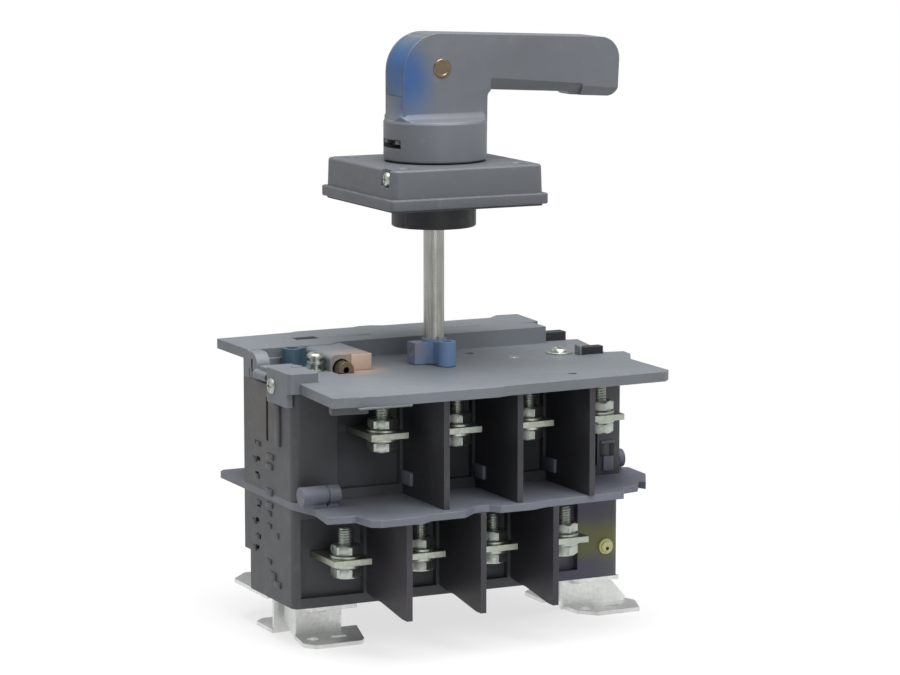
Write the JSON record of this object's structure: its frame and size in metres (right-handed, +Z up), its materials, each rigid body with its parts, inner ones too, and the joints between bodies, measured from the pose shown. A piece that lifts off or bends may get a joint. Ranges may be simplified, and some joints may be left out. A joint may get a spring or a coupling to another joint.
{
  "type": "changeover switch disconnector",
  "caption": "Two-deck changeover switch disconnector with terminal bars and phase barriers on both sides, a long shaft, and a padlockable rotary handle on a square door plate.",
  "frame": {"origin": "centre of the four mounting holes, on the plane that the feet stand on", "axes": "+Z up the shaft, X along the row of poles, -Y towards the front terminals"},
  "size_m": [0.2046, 0.166, 0.3002],
  "materials": {
    "casing_plastic": "fine satin grain",
    "cover_plastic": "fine satin grain",
    "barrier_plastic": "fine satin grain",
    "tinned_copper": "tin plated",
    "zinc_plate": "bright zinc",
    "arc_steel": "plain",
    "galvanised_steel": "galvanised",
    "shaft_steel": "drawn",
    "drive_steel": "rolled",
    "coupler_metal": "blue-grey",
    "brass": "turned",
    "bearing_plastic": "moulded",
    "plate_plastic": "fine satin grain",
    "gasket_rubber": "plain",
    "handle_plastic": "fine satin grain",
    "lever_plastic": "satin",
    "slide_plastic": "satin",
    "cap_plastic": "glossy",
    "rotor_plastic": "moulded",
    "blade_copper": "silver faced copper"
  },
  "bodies": {
    "casing": {"lower_deck_housing": "casing_plastic", "upper_deck_housing": "casing_plastic", "middle_shroud": "cover_plastic", "top_cover": "cover_plastic", "lower_chamber_cover": "casing_plastic", "upper_chamber_cover": "casing_plastic", "lower_phase_barriers": "barrier_plastic", "upper_phase_barriers": "barrier_plastic", "lower_terminals": "tinned_copper", "upper_terminals": "tinned_copper", "terminal_bolts": "zinc_plate", "terminal_nuts": "zinc_plate", "terminal_washers": "zinc_plate", "lower_arc_plates": "arc_steel", "upper_arc_plates": "arc_steel", "mounting_feet": "galvanised_steel", "foot_screws": "zinc_plate", "cover_screws": "zinc_plate", "guide_post": "coupler_metal", "auxiliary_stub": "brass", "shaft_bearing": "bearing_plastic", "escutcheon": "plate_plastic", "escutcheon_collar": "plate_plastic", "escutcheon_gasket": "gasket_rubber", "escutcheon_screws": "zinc_plate", "test_cap": "cap_plastic", "cover_latches": "cover_plastic", "shroud_barrels": "cover_plastic"},
    "handle_and_shaft": {"handle": "handle_plastic", "shaft": "shaft_steel", "handle_pin": "brass", "coupler": "coupler_metal", "coupler_screws": "zinc_plate", "main_crank": "shaft_steel", "retaining_ring": "zinc_plate"},
    "padlock_lever": {"padlock_lever": "lever_plastic"},
    "padlock_slide": {"padlock_slide": "slide_plastic"},
    "upper_rotor_1": {"upper_rotor_1": "rotor_plastic", "upper_blades_1": "blade_copper"},
    "upper_rotor_2": {"upper_rotor_2": "rotor_plastic", "upper_blades_2": "blade_copper"},
    "upper_rotor_3": {"upper_rotor_3": "rotor_plastic", "upper_blades_3": "blade_copper"},
    "upper_rotor_4": {"upper_rotor_4": "rotor_plastic", "upper_blades_4": "blade_copper"},
    "lower_rotor_1": {"lower_rotor_1": "rotor_plastic", "lower_blades_1": "blade_copper"},
    "lower_rotor_2": {"lower_rotor_2": "rotor_plastic", "lower_blades_2": "blade_copper"},
    "lower_rotor_3": {"lower_rotor_3": "rotor_plastic", "lower_blades_3": "blade_copper"},
    "lower_rotor_4": {"lower_rotor_4": "rotor_plastic", "lower_blades_4": "blade_copper"},
    "transfer_shaft": {"transfer_shaft": "shaft_steel"},
    "upper_drive_bar": {"upper_drive_bar": "drive_steel"},
    "lower_drive_bar": {"lower_drive_bar": "drive_steel"}
  },
  "joints": [
    {"name": "handle_turn", "type": "hinge", "parent": "casing", "child": "handle_and_shaft", "pos_m": [-0.0005, 0, 0.2365], "axis": [0, 0, 1], "range_deg": [-45, 45]},
    {"name": "upper_rotor_1_turn", "type": "hinge", "parent": "casing", "child": "upper_rotor_1", "pos_m": [-0.05, 0, 0.1075], "axis": [0, 0, 1], "range_deg": [-45, 45]},
    {"name": "upper_rotor_2_turn", "type": "hinge", "parent": "casing", "child": "upper_rotor_2", "pos_m": [-0.01, 0, 0.1075], "axis": [0, 0, 1], "range_deg": [-45, 45]},
    {"name": "upper_rotor_3_turn", "type": "hinge", "parent": "casing", "child": "upper_rotor_3", "pos_m": [0.03, 0, 0.1075], "axis": [0, 0, 1], "range_deg": [-45, 45]},
    {"name": "upper_rotor_4_turn", "type": "hinge", "parent": "casing", "child": "upper_rotor_4", "pos_m": [0.07, 0, 0.1075], "axis": [0, 0, 1], "range_deg": [-45, 45]},
    {"name": "lower_rotor_1_turn", "type": "hinge", "parent": "casing", "child": "lower_rotor_1", "pos_m": [-0.07, 0, 0.0465], "axis": [0, 0, 1], "range_deg": [-45, 45]},
    {"name": "lower_rotor_2_turn", "type": "hinge", "parent": "casing", "child": "lower_rotor_2", "pos_m": [-0.03, 0, 0.0465], "axis": [0, 0, 1], "range_deg": [-45, 45]},
    {"name": "lower_rotor_3_turn", "type": "hinge", "parent": "casing", "child": "lower_rotor_3", "pos_m": [0.01, 0, 0.0465], "axis": [0, 0, 1], "range_deg": [-45, 45]},
    {"name": "lower_rotor_4_turn", "type": "hinge", "parent": "casing", "child": "lower_rotor_4", "pos_m": [0.05, 0, 0.0465], "axis": [0, 0, 1], "range_deg": [-45, 45]},
    {"name": "transfer_turn", "type": "hinge", "parent": "casing", "child": "transfer_shaft", "pos_m": [-0.08, 0, 0.09], "axis": [0, 0, 1], "range_deg": [-45, 45]},
    {"name": "upper_bar_pivot", "type": "hinge", "parent": "handle_and_shaft", "child": "upper_drive_bar", "pos_m": [-0.0005, -0.006, 0.12155], "axis": [0, 0, 1], "range_deg": [-45, 45]},
    {"name": "lower_bar_pivot", "type": "hinge", "parent": "transfer_shaft", "child": "lower_drive_bar", "pos_m": [-0.08, -0.006, 0.06355], "axis": [0, 0, 1], "range_deg": [-45, 45]},
    {"name": "padlock_lever_turn", "type": "hinge", "parent": "handle_and_shaft", "child": "padlock_lever", "pos_m": [-0.0011, 0, 0.2827], "axis": [0, 1, 0], "range_deg": [0, 12]},
    {"name": "padlock_slide_travel", "type": "slide", "parent": "handle_and_shaft", "child": "padlock_slide", "axis": [-1, 0, 0], "range_m": [0, 0.00755]}
  ],
  "couplings": [
    {"joint": "upper_rotor_1_turn", "follows": "handle_turn", "ratio": 1},
    {"joint": "upper_rotor_2_turn", "follows": "handle_turn", "ratio": 1},
    {"joint": "upper_rotor_3_turn", "follows": "handle_turn", "ratio": 1},
    {"joint": "upper_rotor_4_turn", "follows": "handle_turn", "ratio": 1},
    {"joint": "lower_rotor_1_turn", "follows": "handle_turn", "ratio": 1},
    {"joint": "lower_rotor_2_turn", "follows": "handle_turn", "ratio": 1},
    {"joint": "lower_rotor_3_turn", "follows": "handle_turn", "ratio": 1},
    {"joint": "lower_rotor_4_turn", "follows": "handle_turn", "ratio": 1},
    {"joint": "transfer_turn", "follows": "handle_turn", "ratio": 1},
    {"joint": "upper_bar_pivot", "follows": "handle_turn", "ratio": -1},
    {"joint": "lower_bar_pivot", "follows": "handle_turn", "ratio": -1},
    {"joint": "padlock_slide_travel", "follows": "padlock_lever_turn", "m_per_rad": 0.036}
  ]
}
